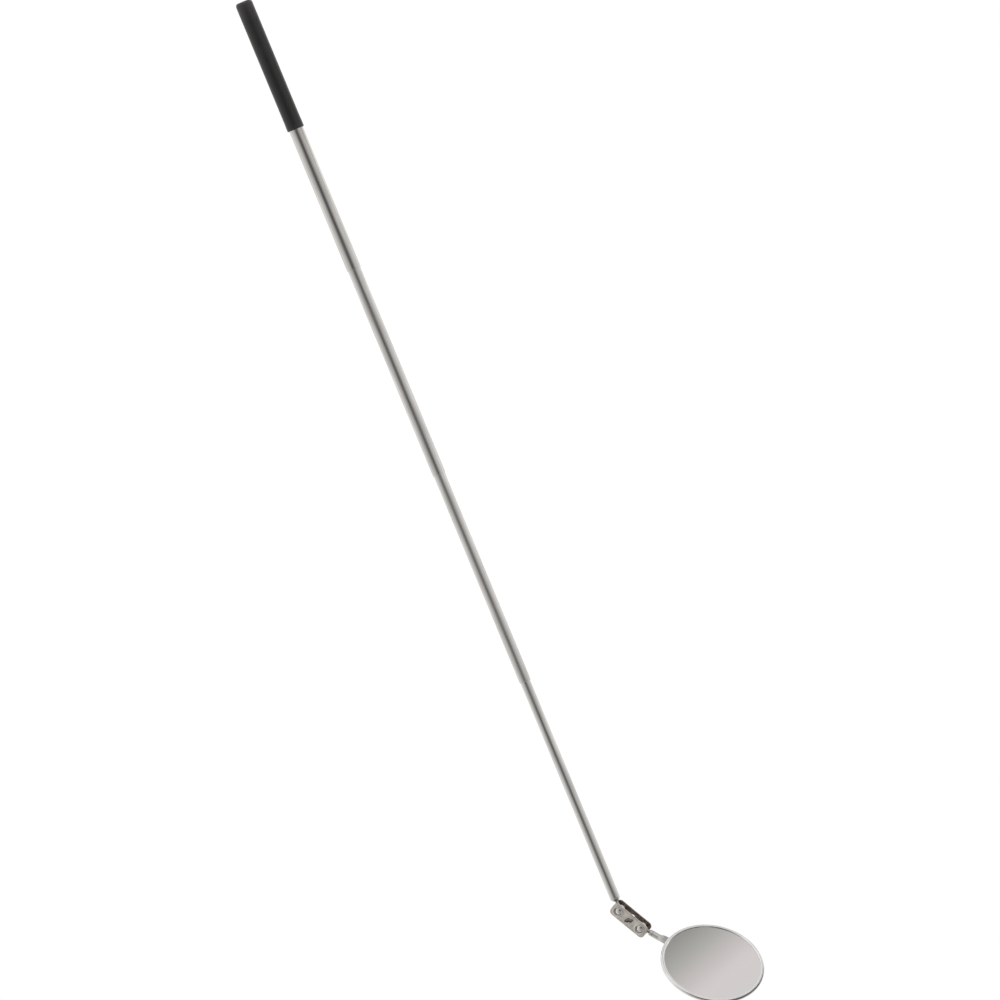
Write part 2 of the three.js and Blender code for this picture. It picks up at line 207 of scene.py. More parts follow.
def softened(outline, closed=True, steps=5):
    """An outline of (a, b) or (a, b, cut) points. A corner with a cut is rounded that far."""
    points = [Vector(p[:2]) for p in outline]
    cuts = [p[2] if len(p) > 2 else 0 for p in outline]
    result = []
    for i, (p, cut) in enumerate(zip(points, cuts)):
        if not cut or (not closed and i in (0, len(points) - 1)):
            result.append(tuple(p))
            continue
        before = points[i - 1] - p
        after = points[(i + 1) % len(points)] - p
        cut = min(cut, 0.49 * before.length, 0.49 * after.length)
        start = p + before.normalized() * cut
        stop = p + after.normalized() * cut
        for k in range(steps + 1):
            t = k / steps
            at = start * (1 - t) ** 2 + p * 2 * t * (1 - t) + stop * t**2
            result.append(tuple(at))
    return result


def revolved(name, profile, axis="X", segments=96):
    """A closed solid turned about an axis from (along, radius) points. Radius 0 closes it."""
    points = []
    rows = []
    for along, radius in profile:
        count = 1 if radius < 1e-9 else segments
        rows.append(range(len(points), len(points) + count))
        for k in range(count):
            a = 2 * math.pi * k / segments
            c, s = radius * math.cos(a), radius * math.sin(a)
            points.append((along, c, s) if axis == "X" else (c, s, along))
    faces = []
    closed = profile[0][1] > 1e-9
    pairs = zip(rows, rows[1:] + rows[:1]) if closed else zip(rows, rows[1:])
    for low, high in pairs:
        for k in range(segments):
            n = (k + 1) % segments
            if len(low) == 1:
                faces.append((low[0], high[n], high[k]))
            elif len(high) == 1:
                faces.append((low[k], low[n], high[0]))
            else:
                faces.append((low[k], low[n], high[n], high[k]))
    return mesh_of(name, points, faces)


def stacked(name, loops, holes=()):
    """A solid from a stack of matching closed loops, capped at both ends, with stacks as holes."""
    points = []
    faces = []
    first = []
    last = []
    for stack in [loops, *holes]:
        rows = []
        for loop in stack:
            rows.append(range(len(points), len(points) + len(loop)))
            points.extend(loop)
        for low, high in zip(rows, rows[1:]):
            for k in range(len(low)):
                n = (k + 1) % len(low)
                faces.append((low[k], low[n], high[n], high[k]))
        first.append(rows[0])
        last.append(rows[-1])
    for ends in (first, last):
        indices = [i for row in ends for i in row]
        lines = [[Vector(points[i]) for i in row] for row in ends]
        faces.extend(tuple(indices[i] for i in t) for t in tessellate_polygon(lines))
    return mesh_of(name, points, faces)


def rounded_box(half_x, half_y, corner, inset, z, steps=8):
    """A loop round a rectangle with round corners, drawn in by inset, at height z."""
    loop = []
    for quarter, (sx, sy) in enumerate(((1, 1), (-1, 1), (-1, -1), (1, -1))):
        for k in range(steps + 1):
            a = math.radians(90 * quarter + 90 * k / steps)
            loop.append((
                sx * (half_x - corner) + (corner - inset) * math.cos(a),
                sy * (half_y - corner) + (corner - inset) * math.sin(a),
                z,
            ))
    return loop


def circle(x, y, radius, z, steps=48):
    turn = 2 * math.pi / steps
    return [
        (x + radius * math.cos(k * turn), y + radius * math.sin(k * turn), z)
        for k in range(steps)
    ]


def cut_out(mesh, cutter):
    """The first mesh less the second."""
    target = bpy.data.objects.new("target", mesh)
    tool = bpy.data.objects.new("tool", cutter)
    for obj in (target, tool):
        bpy.context.scene.collection.objects.link(obj)
    modifier = target.modifiers.new("cut", "BOOLEAN")
    modifier.operation = "DIFFERENCE"
    modifier.solver = "EXACT"
    modifier.object = tool
    graph = bpy.context.evaluated_depsgraph_get()
    result = bpy.data.meshes.new_from_object(target.evaluated_get(graph))
    for obj in (target, tool):
        bpy.data.objects.remove(obj)
    return result


# ---------------------------------------------------------------- material making


class Finish:
    """A procedural material on a Principled shader, with lengths in millimetres."""

    def __init__(self, name, metallic=0.0, on_cad=False, **settings):
        self.material = bpy.data.materials.new(name)
        self.material.use_nodes = True
        self.tree = self.material.node_tree
        self.shader = self.tree.nodes["Principled BSDF"]
        self.shader.inputs["Metallic"].default_value = metallic
        for socket, value in settings.items():
            self.shader.inputs[socket.replace("_", " ")].default_value = value
        self.place = self.node("ShaderNodeAttribute", attribute_name="local").outputs["Vector"]
        if on_cad:
            metres = self.node("ShaderNodeTexCoord").outputs["Object"]
            scaled = self.node("ShaderNodeVectorMath", {0: metres, 3: 1 / MM}, operation="SCALE")
            self.place = scaled.outputs[0]
        self.last_bump = None

    def node(self, kind, inputs=(), **settings):
        made = self.tree.nodes.new(kind)
        for key, value in settings.items():
            setattr(made, key, value)
        for key, value in dict(inputs).items():
            if isinstance(value, bpy.types.NodeSocket):
                self.tree.links.new(value, made.inputs[key])
            else:
                made.inputs[key].default_value = value
        return made

    def stretched(self, x, y, z):
        """Local coordinates divided by a feature size in millimetres along each axis."""
        scale = tuple(1 / size for size in (x, y, z))
        made = self.node("ShaderNodeVectorMath", {0: self.place, 1: scale}, operation="MULTIPLY")
        return made.outputs[0]

    def noise(self, x, y=None, z=None, detail=3.0, roughness=0.55):
        """Noise whose features are x, y and z millimetres long, from 0 to 1."""
        vector = self.stretched(x, y or x, z or y or x)
        inputs = {"Vector": vector, "Scale": 1.0, "Detail": detail, "Roughness": roughness}
        return self.node("ShaderNodeTexNoise", inputs).outputs["Fac"]

    def ramp(self, value, low, high, to_low=0.0, to_high=1.0):
        inputs = {
            "Value": value,
            "From Min": low,
            "From Max": high,
            "To Min": to_low,
            "To Max": to_high,
        }
        return self.node("ShaderNodeMapRange", inputs).outputs["Result"]

    def maths(self, operation, a, b=0.0):
        return self.node("ShaderNodeMath", {0: a, 1: b}, operation=operation).outputs[0]

    def axis(self, index):
        """One local coordinate, in millimetres."""
        parts = self.node("ShaderNodeSeparateXYZ", {0: self.stretched(1, 1, 1)})
        return parts.outputs[index]

    def radius(self):
        """Distance from the local Z axis, in millimetres."""
        flat = self.node("ShaderNodeCombineXYZ", {0: self.axis(0), 1: self.axis(1)}).outputs[0]
        return self.node("ShaderNodeVectorMath", {0: flat}, operation="LENGTH").outputs[1]

    def blend(self, factor, a, b):
        """A colour between a and b."""
        made = self.node("ShaderNodeMix", data_type="RGBA")
        for socket, value in zip((0, 6, 7), (factor, a, b)):
            if isinstance(value, bpy.types.NodeSocket):
                self.tree.links.new(value, made.inputs[socket])
            elif socket == 0:
                made.inputs[socket].default_value = value
            else:
                made.inputs[socket].default_value = (*value, 1)
        return made.outputs[2]

    def colour(self, value):
        self.tree.links.new(value, self.shader.inputs["Base Color"])

    def rough(self, value):
        self.tree.links.new(value, self.shader.inputs["Roughness"])

    def bump(self, height, depth, strength=1.0):
        """Relief of a depth in millimetres, over any relief set before."""
        inputs = {"Height": height, "Distance": depth * MM, "Strength": strength}
        if self.last_bump:
            inputs["Normal"] = self.last_bump
        self.last_bump = self.node("ShaderNodeBump", inputs).outputs["Normal"]
        self.tree.links.new(self.last_bump, self.shader.inputs["Normal"])


def vinyl():
    """Dipped black vinyl: a fine orange peel, scuffs at both ends, and a painted highlight that
    lightens the colour towards the domed butt.
    """
    f = Finish("black_vinyl", Specular_IOR_Level=0.45)
    blotch = f.noise(9, detail=4.0)
    scuff_noise = f.noise(0.8, 0.35, detail=6.0, roughness=0.7)
    along = f.axis(0)
    butt = f.ramp(along, 12.0, 0.0)
    lip = f.ramp(along, GRIP_LENGTH - 3.0, GRIP_LENGTH)
    ends = f.maths("MAXIMUM", butt, lip)
    scuffs = f.maths("MULTIPLY", ends, f.ramp(scuff_noise, 0.48, 0.72))
    base = f.blend(blotch, (0.014, 0.0135, 0.013), (0.026, 0.025, 0.0235))
    # Painted highlight: the colour lightens smoothly towards the domed butt, up to half way to a
    # dark grey.
    butt_highlight = f.blend(f.maths("MULTIPLY", butt, 0.5), base, (0.06, 0.058, 0.055))
    f.colour(f.blend(scuffs, butt_highlight, (0.085, 0.082, 0.077)))
    worn = f.maths("ADD", f.ramp(blotch, 0.3, 0.7, 0.34, 0.44), f.maths("MULTIPLY", scuffs, 0.2))
    f.rough(worn)
    f.bump(f.noise(0.5, detail=4.0), 0.03)
    f.bump(f.noise(14, 0.6, detail=3.0), 0.05)
    f.bump(scuff_noise, 0.02)
    return f.material


def drawn_steel(name, gloss, tone=1.0):
    """Bright drawn steel: fine lines along X, faint rings from sliding, and handling marks."""
    f = Finish(name, metallic=1.0)
    lines = f.noise(60, 0.16, detail=5.0, roughness=0.7)
    smear = f.noise(22, 3.0, detail=3.0)
    rings = f.noise(0.35, 40, detail=4.0, roughness=0.7)
    light = tuple(tone * c for c in (0.69, 0.672, 0.645))
    dark = tuple(tone * c for c in (0.56, 0.545, 0.52))
    f.colour(f.blend(f.ramp(smear, 0.3, 0.7), light, dark))
    grain = f.ramp(lines, 0.3, 0.7, gloss, gloss + 0.12)
    f.rough(f.maths("ADD", grain, f.ramp(smear, 0.45, 0.75, 0.0, 0.12)))
    f.bump(lines, 0.006)
    f.bump(f.ramp(rings, 0.55, 0.8), 0.003)
    return f.material


def stamped_steel():
    """Tumbled nickel-plated sheet: pebbled, dented and stained, with painted shade in patchy dark
    brown on the inner faces between the plates.
    """
    f = Finish("stamped_steel", metallic=1.0)
    pebble = f.noise(0.35, detail=5.0, roughness=0.6)
    stain = f.noise(3.5, detail=4.0)
    dents = f.node("ShaderNodeTexVoronoi", {"Vector": f.stretched(1, 1, 1), "Scale": 0.9})
    dented = f.ramp(dents.outputs["Distance"], 0.0, 0.25)
    inside = f.ramp(f.maths("ABSOLUTE", f.axis(2)), PLATE_INNER + 0.3, PLATE_INNER + 0.05)
    # Painted shade: the inner faces, in the gap between the plates, are darkened towards a patchy
    # brown tone.
    gap_shade = f.maths("MULTIPLY", inside, f.ramp(stain, 0.2, 0.6, 0.75, 1.0))
    face = f.blend(f.ramp(stain, 0.35, 0.7), (0.68, 0.64, 0.58), (0.45, 0.415, 0.37))
    patch = f.ramp(f.noise(1.6, detail=4.0), 0.35, 0.65)
    gap_shade_tone = f.blend(patch, (0.14, 0.11, 0.1), (0.42, 0.33, 0.3))
    f.colour(f.blend(gap_shade, face, gap_shade_tone))
    f.rough(f.maths("ADD", f.ramp(pebble, 0.3, 0.7, 0.3, 0.46), f.maths("MULTIPLY", gap_shade, 0.2)))
    f.bump(pebble, 0.012)
    f.bump(dented, 0.008)
    return f.material


def zinc_steel():
    """Dark zinc plate with dull, greenish patches."""
    f = Finish("zinc_steel", metallic=1.0)
    patch = f.noise(1.1, detail=5.0)
    f.colour(f.blend(f.ramp(patch, 0.35, 0.65), (0.26, 0.24, 0.18), (0.15, 0.14, 0.1)))
    f.rough(f.ramp(f.noise(0.3, detail=4.0), 0.3, 0.7, 0.3, 0.5))
    f.bump(f.noise(0.25, detail=4.0), 0.01)
    return f.material


def ball_chrome():
    """Polished ball with hairline rub marks, and painted shade darkening its waist between the
    plates.
    """
    f = Finish("ball_chrome", metallic=1.0)
    rub = f.noise(0.08, 1.6, detail=4.0, roughness=0.7)
    waist = f.ramp(f.maths("ABSOLUTE", f.axis(2)), 2.5, 1.9)
    # Painted shade: the band of the ball between the plates is darkened, patchily.
    waist_shade = f.maths("MULTIPLY", waist, f.ramp(f.noise(1.2, detail=4.0), 0.25, 0.6, 0.1, 0.5))
    bright = f.blend(f.noise(2.0), (0.72, 0.71, 0.7), (0.64, 0.63, 0.62))
    f.colour(f.blend(waist_shade, bright, (0.16, 0.145, 0.135)))
    f.rough(f.maths("ADD", f.ramp(rub, 0.45, 0.75, 0.07, 0.2), f.maths("MULTIPLY", waist_shade, 0.25)))
    f.bump(rub, 0.003)
    return f.material


def spun_chrome():
    """Plated cup, spun on a lathe: faint rings on the back, smudges, and a few fine scratches."""
    f = Finish("spun_chrome", metallic=1.0)
    radius = f.radius()
    rings = f.node(
        "ShaderNodeTexNoise",
        {"W": radius, "Scale": 4.0, "Detail": 4.0, "Roughness": 0.7},
        noise_dimensions="1D",
    ).outputs["Fac"]
    smudge = f.noise(7, detail=4.0)
    scratch = f.noise(9, 0.12, 0.12, detail=5.0, roughness=0.75)
    f.colour(f.blend(f.ramp(smudge, 0.35, 0.7), (0.76, 0.75, 0.735), (0.66, 0.65, 0.635)))
    hazy = f.ramp(smudge, 0.4, 0.75, 0.08, 0.2)
    f.rough(f.maths("ADD", hazy, f.ramp(scratch, 0.6, 0.8, 0.0, 0.12)))
    f.bump(rings, 0.006)
    f.bump(f.ramp(scratch, 0.62, 0.8), 0.004)
    return f.material


def silvered():
    """Flat silvered glass with the faintest wipe marks and dust."""
    f = Finish("silvered_glass", metallic=1.0)
    wipe = f.noise(16, 2.0, 2.0, detail=4.0)
    dust = f.noise(0.25, detail=2.0, roughness=0.4)
    specks = f.ramp(dust, 0.72, 0.8)
    f.colour(f.blend(specks, (0.87, 0.862, 0.868), (0.7, 0.69, 0.68)))
    f.rough(f.maths("ADD", f.ramp(wipe, 0.45, 0.8, 0.012, 0.05), f.maths("MULTIPLY", specks, 0.3)))
    f.bump(f.noise(24, detail=1.0), 0.0004)
    return f.material


def ground_edge():
    """The ground rim of the glass, greenish and dull."""
    f = Finish("ground_edge")
    grit = f.noise(0.2, detail=4.0)
    f.colour(f.blend(grit, (0.2, 0.25, 0.22), (0.33, 0.38, 0.35)))
    f.rough(f.ramp(grit, 0.3, 0.7, 0.5, 0.75))
    f.bump(grit, 0.02)
    return f.material


def spring_bronze():
    """Rolled strip with lines along it."""
    f = Finish("spring_bronze", metallic=1.0, on_cad=True)
    lines = f.noise(0.1, 4, detail=4.0)
    f.colour(f.blend(f.noise(3), (0.55, 0.37, 0.17), (0.42, 0.27, 0.12)))
    f.rough(f.ramp(lines, 0.3, 0.7, 0.25, 0.42))
    f.bump(lines, 0.006)
    return f.material


def moulded_nylon():
    f = Finish("moulded_nylon", on_cad=True)
    grain = f.noise(0.3, detail=5.0)
    f.colour(f.blend(grain, (0.03, 0.03, 0.03), (0.055, 0.055, 0.053)))
    f.rough(f.ramp(grain, 0.3, 0.7, 0.45, 0.6))
    f.bump(grain, 0.02)
    return f.material


def felt_board():
    f = Finish("felt_board", on_cad=True)
    fibres = f.noise(2.5, 0.15, detail=6.0, roughness=0.7)
    f.colour(f.blend(fibres, (0.25, 0.2, 0.14), (0.42, 0.36, 0.27)))
    f.rough(f.ramp(fibres, 0.3, 0.7, 0.85, 0.98))
    f.bump(fibres, 0.08)
    return f.material


VINYL = vinyl()
TUBE_STEELS = {
    index: drawn_steel(f"drawn_steel_{index}", gloss)
    for index, gloss in ((1, 0.09), (2, 0.18), (3, 0.24), (4, 0.18))
}
STEM_STEEL = drawn_steel("stem_steel", 0.2, tone=0.8)
STAMPED = stamped_steel()
ZINC = zinc_steel()
BALL_CHROME = ball_chrome()
CASE_CHROME = spun_chrome()
MIRROR = silvered()
GROUND = ground_edge()
BRONZE = spring_bronze()
NYLON = moulded_nylon()
FELT = felt_board()

# ---------------------------------------------------------------- grip


GRIP_CLEAR = 0.03


def make_grip():
    """A dipped sleeve: domed at the butt, square at the mouth, with a soft lip."""
    r = GRIP_RADIUS
    bore = TUBE_RADII["tube_1"] + GRIP_CLEAR
    end = GRIP_LENGTH
    profile = softened([
        (0, 0),
        (0.0, r - 1.5, 0.6),
        (0.35, r - 0.55, 0.6),
        (1.7, r - 0.06, 0.9),
        (6, r - 0.06, 2),
        (end - 6, r - 0.08, 3),
        (end - 2.4, r, 1.2),
        (end - 0.35, r, 0.3),
        (end, r - 0.3, 0.2),
        (end, bore),
        (2, bore),
        (2, 0),
    ], closed=False)
    piece("grip", revolved("grip", profile), ROD, "handle", VINYL, ["grip_sleeve"])


# ---------------------------------------------------------------- tubes


def make_tube(index):
    """One tube, flared at the rear and rolled in at the mouth."""
    name = f"tube_{index}"
    radius = TUBE_RADII[name]
    rear, mouth = end_mm(name, 0), end_mm(name, 1)
    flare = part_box(name)[1].y / MM - radius
    inner = TUBE_RADII.get(f"tube_{index + 1}")
    lip_bore = inner + MOUTH_CLEAR if inner else TIP_BORE
    bore = radius - WALL
    profile = softened([
        (rear, bore + flare),
        (rear, radius + flare),
        (rear + 1.1, radius + flare, 0.3),
        (rear + 1.5, radius, 0.3),
        (mouth - 1.1, radius, 0.7),
        (mouth - 0.15, lip_bore + WALL, 0.14),
        (mouth, lip_bore + 0.16, 0.08),
        (mouth, lip_bore, 0.06),
        (mouth - 1.6, lip_bore, 0.3),
        (mouth - 2, bore, 0.3),
        (rear + 1.5, bore, 0.3),
        (rear + 1.1, bore + flare, 0.3),
    ])
    body = "handle" if index == 1 else f"section_{index}"
    piece(f"{name}_fine", revolved(name, profile, segments=128), ROD, body,
          TUBE_STEELS[index], [name])


# ---------------------------------------------------------------- ball joints

CUP_CLEAR = 0.02
NECK_FLARE = 1.28
BALL_ROWS = 48


def neck_end(radius):
    """How far from a ball's centre a neck of that radius meets it."""
    return math.sqrt((BALL_RADIUS + CUP_CLEAR) ** 2 - radius**2)


def cup_profile(rim):
    """The hollow end of a neck that seats the ball, from its rim to the axis."""
    return [(neck_end(rim * k / 6), rim * k / 6) for k in range(6, -1, -1)]


def make_tip_stud():
    """The stud in the last tube, with its collar, its neck and the brazed flare at the ball."""
    mouth = end_mm("tube_4", 1)
    centre = BALL_1.x / MM
    rear = end_mm("tip_stud", 0)
    shank = TUBE_RADII["tube_4"] - WALL - 0.04
    outer = softened([
        (rear, 0),
        (rear, shank, 0.5),
        (mouth - 2.1, shank, 0.2),
        (mouth - 1.6, TIP_BORE - 0.06, 0.2),
        (mouth + 0.06, TIP_BORE - 0.06, 0.15),
        (mouth + 0.3, NECK_RADIUS, 0.15),
        (centre - neck_end(NECK_RADIUS) - 0.55, NECK_RADIUS, 0.3),
        (centre - neck_end(NECK_FLARE), NECK_FLARE),
    ], closed=False)
    profile = outer + [(centre - a, r) for a, r in cup_profile(NECK_FLARE)[1:]]
    piece("tip_stud_fine", revolved("tip_stud", profile), ROD, "section_4",
          STEM_STEEL, ["tip_stud"])


def make_ball(name, place, body):
    turns = [math.pi * k / BALL_ROWS for k in range(BALL_ROWS + 1)]
    profile = [(-BALL_RADIUS * math.cos(a), BALL_RADIUS * math.sin(a)) for a in turns]
    profile[0] = (-BALL_RADIUS, 0)
    profile[-1] = (BALL_RADIUS, 0)
    piece(f"{name}_fine", revolved(name, profile, axis="Z"), place, body,
          BALL_CHROME, [name])


# ---------------------------------------------------------------- clamp link

PLATE_EDGE = 0.25
PLATE_OUTER_EDGE = 0.35
SEAT_RADIUS = 2.2
SCREW_HOLE = 1.5
COLLAR_RISE = 0.2


def make_plate(side):
    """A stamped plate with a swaged collar round each ball seat. Side is 1 in front, -1 behind."""
    inner, outer = PLATE_INNER, PLATE_OUTER
    quarter = [math.radians(90 * k / 6) for k in range(7)]
    rim = [
        (inner + PLATE_EDGE * (1 - math.cos(a)), PLATE_EDGE * (1 - math.sin(a))) for a in quarter
    ] + [
        (outer - PLATE_OUTER_EDGE * (1 - math.sin(a)), PLATE_OUTER_EDGE * (1 - math.cos(a)))
        for a in quarter
    ]
    loops = [
        rounded_box(PLATE_LENGTH / 2, PLATE_WIDTH / 2, PLATE_CORNER, inset, side * z)
        for z, inset in rim
    ]
    seat = softened([
        (inner, SEAT_RADIUS + 0.22),
        (inner + 0.3, SEAT_RADIUS, 0.12),
        (outer - 0.1, SEAT_RADIUS - 0.02, 0.12),
        (outer + COLLAR_RISE, SEAT_RADIUS + 0.25, 0.12),
        (outer + COLLAR_RISE, SEAT_RADIUS + 0.6, 0.2),
        (outer, SEAT_RADIUS + 1.15, 0.25),
        (outer, SEAT_RADIUS + 1.5),
    ], closed=False)
    middle = softened([
        (inner, SCREW_HOLE + 0.15),
        (inner + 0.15, SCREW_HOLE, 0.08),
        (outer - 0.15, SCREW_HOLE, 0.08),
        (outer, SCREW_HOLE + 0.15),
    ], closed=False)
    holes = [
        [circle(x, 0, radius, side * z) for z, radius in seat]
        for x in (-BALL_SPACING / 2, BALL_SPACING / 2)
    ]
    holes.append([circle(0, 0, radius, side * z) for z, radius in middle])
    name = "link_plate_front" if side > 0 else "link_plate_back"
    piece(f"{name}_fine", stacked(name, loops, holes), LINK, "link",
          STAMPED, [name], sharp=40)


SCREW_RADIUS = 1.35
HEAD_RADIUS = 2.5
HEAD_BASE = PLATE_OUTER + 0.05
HEAD_TOP = HEAD_BASE + 1.2
WASHER_TOP = -PLATE_OUTER - 0.05
WASHER_BOTTOM = WASHER_TOP - 0.45
NUT_TOP = WASHER_BOTTOM - 0.05
NUT_BOTTOM = NUT_TOP - 1.2
NUT_FLAT = 2.5
SCREW_END = NUT_BOTTOM - 0.3
PITCH = 0.5
THREAD_DEPTH = 0.24
THREAD_STEPS = 120
SLOT_DEPTH = 0.62
SLOT_HALF = 0.42
SLOT_TURN = math.radians(40)


def thread_radius(z, angle):
    """The radius of the screw's thread, which fades out under the head and at the tip."""
    phase = (z / PITCH - angle / (2 * math.pi)) % 1
    tooth = 1 - abs(2 * phase - 1)
    fade = min(1, max(0, (HEAD_BASE - 0.5 - z) / 0.4)) * min(1, max(0, (z - SCREW_END) / 0.3))
    return SCREW_RADIUS - THREAD_DEPTH * fade * (1 - tooth)


def make_screw():
    """A slotted pan head, and a threaded shank down to the nut."""
    rows = []
    turns = [2 * math.pi * n / 48 for n in range(48)]
    for k in range(THREAD_STEPS + 1):
        z = SCREW_END + (HEAD_BASE - SCREW_END) * k / THREAD_STEPS
        radii = [thread_radius(z, a) for a in turns]
        rows.append([(r * math.cos(a), r * math.sin(a), z) for r, a in zip(radii, turns)])
    head = softened([
        (HEAD_BASE, SCREW_RADIUS),
        (HEAD_BASE, HEAD_RADIUS, 0.12),
        (HEAD_TOP - 0.25, HEAD_RADIUS - 0.04, 0.5),
        (HEAD_TOP, HEAD_RADIUS - 1.0, 0.8),
        (HEAD_TOP, 0.4),
    ], closed=False)
    rows.extend(circle(0, 0, r, z) for z, r in head[1:])
    rows.insert(0, [(x * 0.8, y * 0.8, SCREW_END - 0.1) for x, y, _ in rows[0]])
    slot = stacked("slot", [
        rounded_box(HEAD_RADIUS * 1.5, SLOT_HALF, 0.05, 0, HEAD_TOP - SLOT_DEPTH),
        rounded_box(HEAD_RADIUS * 1.5, SLOT_HALF + 0.03, 0.05, 0, HEAD_TOP + 0.3),
    ])
    slot.transform(Matrix.Rotation(SLOT_TURN, 4, "Z"))
    screw = cut_out(stacked("screw", rows), slot)
    piece("clamp_screw_fine", screw, LINK, "link", ZINC, ["clamp_screw"])


def make_nut():
    """A thin hexagon nut, its corners turned off to a cone at both faces."""
    def hexagon(limit, z, bore=None):
        loop = []
        for n in range(96):
            a = 2 * math.pi * n / 96
            flat = NUT_FLAT / math.cos((a % (math.pi / 3)) - math.pi / 6)
            r = bore if bore else min(flat, limit)
            loop.append((r * math.cos(a), r * math.sin(a), z))
        return loop

    corner = NUT_FLAT * 2 / math.sqrt(3)
    outside = [
        hexagon(NUT_FLAT * 0.97, NUT_BOTTOM),
        hexagon(NUT_FLAT * 1.02, NUT_BOTTOM + 0.08),
        hexagon(corner, NUT_BOTTOM + 0.34),
        hexagon(corner, NUT_TOP - 0.34),
        hexagon(NUT_FLAT * 1.02, NUT_TOP - 0.08),
        hexagon(NUT_FLAT * 0.97, NUT_TOP),
    ]
    bore = [
        hexagon(0, NUT_BOTTOM, SCREW_RADIUS + 0.25),
        hexagon(0, NUT_BOTTOM + 0.2, SCREW_RADIUS + 0.05),
        hexagon(0, NUT_TOP - 0.2, SCREW_RADIUS + 0.05),
        hexagon(0, NUT_TOP, SCREW_RADIUS + 0.25),
    ]
    piece("clamp_nut_fine", stacked("nut", outside, [bore]), LINK, "link",
          ZINC, ["clamp_nut"])


WASHER_SPLIT = math.radians(8)
WASHER_STEPS = 72


def make_washer():
    """A split spring washer, its section a rounded rectangle."""
    inner, outer = SCREW_HOLE + 0.05, SCREW_HOLE + 0.9
    section = softened([
        (inner, WASHER_BOTTOM, 0.1),
        (outer, WASHER_BOTTOM, 0.1),
        (outer, WASHER_TOP, 0.1),
        (inner, WASHER_TOP, 0.1),
    ], steps=3)
    loops = []
    for k in range(WASHER_STEPS + 1):
        a = WASHER_SPLIT + 2 * (math.pi - WASHER_SPLIT) * k / WASHER_STEPS
        loops.append([(r * math.cos(a), r * math.sin(a), z) for r, z in section])
    piece("spring_washer_fine", stacked("washer", loops), LINK, "link",
          ZINC, ["spring_washer"])


# ---------------------------------------------------------------- mirror head


def make_stem():
    """The short stem, its neck flared where it is brazed to the ball, with the pin on its end."""
    profile = cup_profile(NECK_FLARE)[::-1] + softened([
        (neck_end(NECK_FLARE), NECK_FLARE),
        (neck_end(NECK_RADIUS) + 0.55, NECK_RADIUS, 0.3),
        (5.2, NECK_RADIUS, 0.3),
        (5.7, STEM_RADIUS, 0.3),
        (SWIVEL_AT, STEM_RADIUS, 0.08),
        (SWIVEL_AT, PIN_RADIUS),
        (PIN_END, PIN_RADIUS, 0.2),
        (PIN_END, 0),
    ], closed=False)[1:]
    piece("mirror_stem_fine", revolved("stem", profile), STEM, "stem",
          STEM_STEEL, ["mirror_stem"])


def bar_section(x, z, half_width, half_thickness, steps=64):
    """A loop at x round a flat bar with round edges. A bar as thick as it is wide is round."""
    loop = []
    for k in range(steps):
        c, d = math.cos(2 * math.pi * k / steps), math.sin(2 * math.pi * k / steps)
        straight = (half_width - half_thickness) * min(1, max(-1, 2 * c))
        loop.append((x, straight + half_thickness * c, z + half_thickness * d))
    return loop


def make_blade():
    """The shank that turns on the pin, hammered out flat along the back of the case."""
    flat_z = -CASE_DEPTH - 0.05 - BLADE_THICKNESS / 2
    start = SWIVEL_AT + 0.05 - STEM_REACH
    bore = PIN_RADIUS + 0.06
    loops = [
        bar_section(PIN_END + 0.06 - STEM_REACH, -STEM_DROP, bore * 0.1, bore * 0.1),
        bar_section(PIN_END + 0.06 - STEM_REACH, -STEM_DROP, bore, bore),
        bar_section(start, -STEM_DROP, bore, bore),
        bar_section(start, -STEM_DROP, STEM_RADIUS - 0.07, STEM_RADIUS - 0.07),
        bar_section(start + 0.07, -STEM_DROP, STEM_RADIUS, STEM_RADIUS),
    ]
    steps = 24
    for k in range(steps + 1):
        t = k / steps
        ease = t * t * (3 - 2 * t)
        x = SHANK_END + SHANK_TAPER * t - STEM_REACH
        loops.append(bar_section(
            x,
            -STEM_DROP + (flat_z + STEM_DROP) * ease,
            STEM_RADIUS + (BLADE_HALF_WIDTH - STEM_RADIUS) * ease,
            STEM_RADIUS + (BLADE_THICKNESS / 2 - STEM_RADIUS) * ease,
        ))
    for k in range(13):
        a = math.radians(BLADE_END_TURN * k / 12)
        x = BLADE_END - STEM_REACH - BLADE_HALF_WIDTH * (1 - math.sin(a))
        half = BLADE_HALF_WIDTH * math.cos(a)
        loops.append(bar_section(x, flat_z, half, min(half, BLADE_THICKNESS / 2)))
    piece("stem_blade_fine", stacked("blade", loops), HEAD, "head", STEM_STEEL,
          ["stem_blade"])
    spot = softened([
        (0.02, 0),
        (0.02, 0.7, 0.3),
        (-0.1, 1.0, 0.2),
        (-0.1, 1.25, 0.2),
        (0.04, 1.45),
        (0.2, 1.45),
        (0.2, 0),
    ], closed=False)
    for number, x in enumerate(WELDS):
        mesh = revolved("spot", spot, axis="Z", segments=40)
        mesh.transform(Matrix.Translation((x, 0, flat_z - BLADE_THICKNESS / 2)))
        piece(f"blade_weld_{number + 1}", mesh, HEAD, "head", STEM_STEEL)


